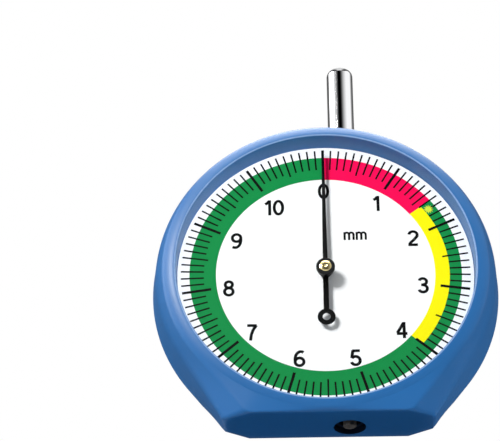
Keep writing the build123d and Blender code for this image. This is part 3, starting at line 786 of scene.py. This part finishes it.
def lettering(name, words, height, centre_x, centre_z, stroke_width, breadth, sharpest_turn=0.6):
    """Printed signs, their middle at a point of the dial seen from the front."""
    strokes = []
    pen = 0.0
    for sign in words:
        strokes += [[(pen + x, y) for x, y in stroke] for stroke in signs[sign]]
        pen += advances.get(sign, usual_advance)
    xs = [x for stroke in strokes for x, _ in stroke]
    middle = (min(xs) + max(xs)) / 2
    maker = bmesh.new()
    for stroke in strokes:
        line = [Vector(((x - middle) * height * breadth, (y - 0.5) * height)) for x, y in stroke]
        closed = (line[0] - line[-1]).length < nothing
        if closed:
            line = line[:-1]
        rows = []
        for index, point in enumerate(line):
            ways = []
            if index or closed:
                ways.append((point - line[index - 1]).normalized())
            if index + 1 < len(line) or closed:
                ways.append((line[(index + 1) % len(line)] - point).normalized())
            way = (ways[0] + ways[-1]).normalized()
            side = Vector((-way.y, way.x)) * stroke_width / 2 / max(sharpest_turn, way.dot(ways[0]))
            rows.append([(centre_x + spot.x, dial_face_y - lift, dial_height + centre_z + spot.y)
                         for spot, lift in ((point + side, 0), (point + side, 2 * ink_lift),
                                            (point - side, 2 * ink_lift), (point - side, 0))])
        join_rings(maker, rows, closed)
    return piece_from(name, maker, black_ink, "case")


number_height, number_stroke, number_breadth = 3.14 * MM, 0.54 * MM, 1.06
for number in range(11):
    turn = 2 * pi * number / full_scale
    reach = number_radius - (number > 9) * wide_number_inset
    dial_pieces.append(lettering("number_%d" % number, str(number), number_height, reach * sin(turn),
                                 reach * cos(turn) - number_drop, number_stroke, number_breadth))
unit_x, unit_z = 5.4 * MM, 7.45 * MM
unit_height, unit_stroke, unit_breadth = 1.66 * MM, 0.40 * MM, 1.08
dial_pieces.append(lettering("unit_mm", "mm", unit_height, unit_x, unit_z, unit_stroke, unit_breadth))

# A small sun on the green band marks where the summer limit starts
sun_radius, sun_reading = 22.45 * MM, 1.70
sun = dial_point(sun_radius, sun_reading, 0)
sun_lift, sun_ray, sun_notch, sun_rays = 2.6 * ink_lift, 0.92 * MM, 0.50 * MM, 12
reaches = [sun_ray, sun_notch] * sun_rays
turns = [2 * pi * step / len(reaches) for step in range(len(reaches))]
maker = bmesh.new()
join_rings(maker, [[(sun.x + reach * sin(turn), dial_face_y - lift, sun.z + reach * cos(turn))
                    for reach, turn in zip(reaches, turns)] for lift in (sun_lift, 0)], False)
sun_ink = ink("pale_yellow_ink", (214, 232, 70), (200, 224, 60))
dial_pieces.append(piece_from("sun_mark", maker, sun_ink, "case"))

# ---------------------------------------------------------------------------------------------
# Pointer. Stamped from thin sheet and lacquered black, with a ring at its tail, pushed on a
# black turned hub; a small brass cap with a centre dimple closes the hub.


def black_lacquer():
    f = Finish("black_pointer_lacquer")
    orange_peel = f.grain(1600.0, 3.0)
    colour = f.blend(orange_peel, paint(3, 3, 4), paint(9, 9, 10))
    return f.done(f.body(Base_Color=colour, Roughness=0.36 + orange_peel * 0.15,
                         Normal=f.relief(orange_peel, 0.08), Specular_IOR_Level=0.25))


lacquer = black_lacquer()
wear("pointer", lacquer)
wear("pointer_hub", lacquer)
cap_low, cap_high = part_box("hub_cap")
cap_radius = (cap_high.x - cap_low.x) / 2
dimple, crown, crown_steps = 0.30 * MM, 0.14 * MM, 10
cap_profile = [(0.0, cap_high.y), (cap_radius, cap_high.y)]
for step in range(crown_steps, 0, -1):
    reach = dimple + (cap_radius - dimple) * step / crown_steps
    cap_profile.append((reach, cap_low.y + crown * ((reach - dimple) / (cap_radius - dimple)) ** 2))
# The dimple's bowl: radius and depth in millimetres
for radius, depth in ((0.30, 0.0), (0.26, 0.01), (0.21, 0.05), (0.12, 0.07), (0.0, 0.075)):
    cap_profile.append((radius * MM, cap_low.y + depth * MM))


def turned(name, profile, material, body, sides=48):
    """A piece turned about the dial axis; the profile gives radius and y, from axis to axis."""
    maker = bmesh.new()
    rings = []
    for radius, y in profile:
        turns = [2 * pi * step / sides for step in range(sides if radius else 1)]
        rings.append([maker.verts.new((radius * sin(turn), y, dial_height + radius * cos(turn)))
                      for turn in turns])
    for ring, following in zip(rings, rings[1:]):
        for step in range(sides):
            corners = [row[index % len(row)] for row, index in
                       ((ring, step), (ring, step + 1), (following, step + 1), (following, step))]
            maker.faces.new(list(dict.fromkeys(corners)))
    return piece_from(name, maker, material, body)


cap_brass = turned_metal("cap_brass", paint(250, 236, 186), paint(226, 194, 118), 0.16, False)
cap = turned("brass_cap", cap_profile, cap_brass, "needle")
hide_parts("hub_cap")

# ---------------------------------------------------------------------------------------------
# Crystal. A clear plastic window pressed into the rim; hardly seen from the front, it takes
# the light only when seen from the side.


def clear_plastic():
    f = Finish("clear_crystal")
    facing = f.add("ShaderNodeLayerWeight", {}, {"Blend": 0.5}, out="Facing")
    outer = 1.0 - f.add("ShaderNodeNewGeometry", out="Backfacing")
    normal = f.add("ShaderNodeNewGeometry", out="Normal")
    front = f.add("ShaderNodeSeparateXYZ", {}, [normal], out="Y") < -0.9
    smear = f.grain(60.0, 4.0)
    gloss = f.add("ShaderNodeBsdfAnisotropic", {}, {"Color": (1, 1, 1, 1), "Roughness": 0.03})
    through = f.add("ShaderNodeBsdfTransparent", {}, {"Color": (0.985, 0.99, 0.99, 1)})
    sheen = (facing ** 5.0 * 0.6 + smear * 0.02) * outer * front
    return f.done(f.add("ShaderNodeMixShader", {}, [sheen, through, gloss]))


window_radius = dial_bore - 0.02 * MM
edge_round = 0.10 * MM
window_profile = [
    (0.0, crystal_high.y), (window_radius - edge_round, crystal_high.y),
    (window_radius, crystal_high.y - edge_round), (window_radius, crystal_low.y + edge_round),
    (window_radius - edge_round, crystal_low.y), (0.0, crystal_low.y),
]
window = turned("clear_window", window_profile, clear_plastic(), "case", sides=192)
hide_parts("crystal")

# ---------------------------------------------------------------------------------------------
# Floor. A pale sheet under the foot. The photograph looks up at the gauge from below its foot,
# so the sheet shows from above alone.

floor_half, floor_drop = 1.5, 0.3 * MM
floor = plain_shape("floor", bmesh.ops.create_grid, x_segments=1, y_segments=1, size=floor_half,
                    matrix=Matrix.Translation((0, 0, -floor_drop)))
f = Finish("pale_floor")
ray = f.add("ShaderNodeLightPath", out="Is Camera Ray")
from_below = f.add("ShaderNodeNewGeometry", out="Backfacing")
seen = (ray + f.also(ray, "Is Glossy Ray")) * (1.0 - from_below) + f.also(ray, "Is Diffuse Ray") * 0.35
paper = f.add("ShaderNodeBsdfDiffuse", {}, {"Color": (0.80, 0.80, 0.80, 1)})
unseen = f.add("ShaderNodeBsdfTransparent")
floor.data.materials.append(f.done(f.add("ShaderNodeMixShader", {}, [seen, unseen, paper])))

# ---------------------------------------------------------------------------------------------
# Light. A soft white room, a key lamp at the upper left in front, weaker lamps at the right, the
# left and below, and screens seen in gloss alone: they draw the dark lines down the rod and
# whiten the rim at the left and the top.

room = bpy.data.worlds.new("white_room")
bpy.context.scene.world = room
f = Finish("white_room", room)
ray = f.add("ShaderNodeLightPath", out="Is Camera Ray")
for kind in ("Is Glossy Ray", "Is Transmission Ray"):
    other = f.add("ShaderNodeLightPath", out=kind)
    ray = f.add("ShaderNodeMath", {"operation": "MAXIMUM"}, [ray, other])
dim = f.add("ShaderNodeBackground", {}, {"Color": (0.97, 0.98, 1.0, 1), "Strength": 0.24})
white = f.add("ShaderNodeBackground", {}, {"Color": (1, 1, 1, 1), "Strength": 1.0})
f.done(f.add("ShaderNodeMixShader", {}, [ray, dim, white]), "ShaderNodeOutputWorld")


def group_of(name, pieces, left_out=False):
    """A collection for light linking: the pieces that a light reaches, or those it leaves out."""
    group = bpy.data.collections.new(name)
    for piece in pieces:
        group.objects.link(piece)
    if left_out:
        for member in group.collection_objects:
            member.light_linking.link_state = "EXCLUDE"
    return group


def lamp(name, place, across, tall, power, reaches=None, in_gloss=False):
    """A soft lamp that is aimed at the dial; reaches is the group that it is linked to."""
    data = bpy.data.lights.new(name, "AREA")
    data.shape = "RECTANGLE"
    data.size, data.size_y, data.energy = across, tall, power
    holder = new_object(name, data)
    aim = Vector((0, 0, dial_height)) - Vector(place)
    holder.matrix_world = Matrix.Translation(place) @ aim.to_track_quat("-Z", "Y").to_matrix().to_4x4()
    holder.visible_glossy = in_gloss
    holder.light_linking.receiver_collection = reaches
    return holder


# The rim throws no shadow on the dial in the photograph. So the dial has a lamp of its own, which
# the pointer alone can block. The key lamp beside it lights all but the dial, and keeps its glare
# off the window and the flat pointer.
key_place, key_size = (-0.50, -0.67, 0.45), 0.24
on_dial = group_of("lit_by_the_dial_lamp", dial_pieces)
dial_lamp = lamp("dial_lamp", key_place, key_size, key_size, 10.2, on_dial, True)
dial_lamp.light_linking.blocker_collection = group_of(
    "shades_of_the_dial_lamp", (nodes["pointer"], nodes["pointer_hub"], cap))
off_dial = group_of("not_lit_by_the_key_lamp", [*dial_pieces, window, nodes["pointer"]], True)
lamp("key_lamp", key_place, key_size, key_size, 9.0, off_dial, True)
lamp("right_lamp", (0.92, -0.25, 0.10), 0.30, 0.50, 5.0, off_dial)
lamp("left_lamp", (-0.85, -0.28, -0.30), 0.40, 0.40, 1.3, off_dial)
lamp("under_lamp", (0.0, -0.12, -0.55), 0.60, 0.40, 0.9)


def glowing_card(name, verts, faces, f, colour, strength, see_through=False):
    """A card that gives light to polished surfaces alone."""
    mesh = bpy.data.meshes.new(name)
    mesh.from_pydata(verts, [], faces)
    glow = f.add("ShaderNodeEmission", {}, {"Color": colour, "Strength": strength})
    if see_through:
        glow = f.add("ShaderNodeAddShader", {}, [glow, f.add("ShaderNodeBsdfTransparent")])
    mesh.materials.append(f.done(glow))
    card = new_object(name, mesh)
    card.visible_camera = card.visible_diffuse = card.visible_shadow = card.visible_transmission = False
    return card


def flat_card(name, half, front, rear, height, f, colour, strength, see_through=False):
    """A level card over the gauge."""
    corners = [(x, y, height) for x, y in ((-half, front), (half, front), (half, rear), (-half, rear))]
    return glowing_card(name, corners, [(0, 1, 2, 3)], f, colour, strength, see_through)


def greys(f, where, stops):
    """A ramp of greys; each stop gives a place from 0 to 1 and how bright it is."""
    colours = [(spot, (level, level, level, 1)) for spot, level in stops]
    return f.add("ShaderNodeValToRGB", {"stops": colours}, [where])


def screen(name, start, end, low, high, stops, distance=1.2, strength=1.0, steps=48):
    """An upright curved screen; the stops give its brightness from one end to the other."""
    verts = []
    for step in range(steps + 1):
        azimuth = start + (end - start) * step / steps
        verts += [(distance * sin(azimuth), -distance * cos(azimuth), height) for height in (low, high)]
    faces = [(2 * step, 2 * step + 2, 2 * step + 3, 2 * step + 1) for step in range(steps)]
    f = Finish(name)
    turn = f.add("ShaderNodeMath", {"operation": "ARCTAN2"}, [f.along("X"), f.along("Y") * -1.0])
    if end > pi:
        turn = turn + (turn < 0.0) * (2 * pi)
    return glowing_card(name, verts, faces, f, greys(f, (turn - start) / (end - start), stops), strength)


screen("front_screen", radians(-60), radians(60), -0.05, 1.45,
       [(0.0, 1.0), (0.03, 1.0), (0.14, 0.50), (0.29, 0.11), (0.37, 0.0), (0.53, 0.0), (0.59, 0.04),
        (0.66, 0.20), (0.81, 0.64), (0.97, 1.0)])
screen("rear_screen", radians(100), radians(260), -1.40, 1.75,
       [(0.0, 1.0), (0.11, 0.20), (0.22, 0.10), (0.78, 0.10), (0.89, 0.20), (1.0, 1.0)])
left_screen = screen("left_screen", radians(-112), radians(-58), 0.10, 1.10,
                     [(0.0, 0.2), (0.3, 1.0), (0.85, 1.0), (1.0, 0.5)], 1.0, 5.0)
# The bright screen overhead is for the rim. The rod sees a dim one through it, which leaves a
# light patch and dark corners on the rod's domed end. Neither bright screen is seen in the window.
f = Finish("top_screen")
shade = f.blend(f.along("X") * f.along("X") * 3.0, (1, 1, 1, 1), (0.5, 0.5, 0.5, 1))
top_screen = flat_card("top_screen", 0.6, -0.7, 0.7, 1.2, f, shade, 7.0, True)
for card, pieces in ((top_screen, (nodes["plunger_rod"], window)), (left_screen, (window,))):
    card.light_linking.receiver_collection = group_of("not_lit_by_the_" + card.name, pieces, True)
f = Finish("dim_top_screen")
shade = greys(f, f.along("X") / 2.0 + 0.5,
              [(0.0, 0.02), (0.22, 0.02), (0.38, 0.70), (0.62, 0.70), (0.78, 0.02), (1.0, 0.02)])
flat_card("dim_top_screen", 1.0, -1.1, 1.2, 1.3, f, shade, 1.0)

# ---------------------------------------------------------------------------------------------
# Camera. It stands in front of the dial and looks up from below the foot, turned a little
# anticlockwise, with a long lens.

camera_azimuth, camera_rise, camera_roll = radians(-0.9), radians(-29.4), radians(-1.4)
camera_distance = 0.400
photo_width, photo_height = 500, 441
sensor_width = 36
dial_pixel = (325.5, 273.1)
pixels_a_metre = 5710
back = Vector((sin(camera_azimuth) * cos(camera_rise), -cos(camera_azimuth) * cos(camera_rise),
               sin(camera_rise)))
level_right = Vector((cos(camera_azimuth), sin(camera_azimuth), 0))
level_up = back.cross(level_right)
right = level_right * cos(camera_roll) + level_up * sin(camera_roll)
up = -level_right * sin(camera_roll) + level_up * cos(camera_roll)
focus = pixels_a_metre * camera_distance
dial_ray = Vector((dial_pixel[0] - photo_width / 2, photo_height / 2 - dial_pixel[1], -focus))
aim_turn = Vector((0, 0, -1)).rotation_difference(dial_ray.normalized()).to_matrix()
facing = Matrix((right, up, back)).transposed() @ aim_turn.transposed()
camera_data = bpy.data.cameras.new("camera")
camera_data.sensor_width = sensor_width
camera_data.lens = focus / photo_width * sensor_width
camera = new_object("camera", camera_data)
eye = Vector((0, 0, dial_height)) + back * camera_distance
camera.matrix_world = Matrix.Translation(eye) @ facing.to_4x4()
bpy.context.scene.camera = camera
bpy.context.scene.view_settings.view_transform = "Standard"
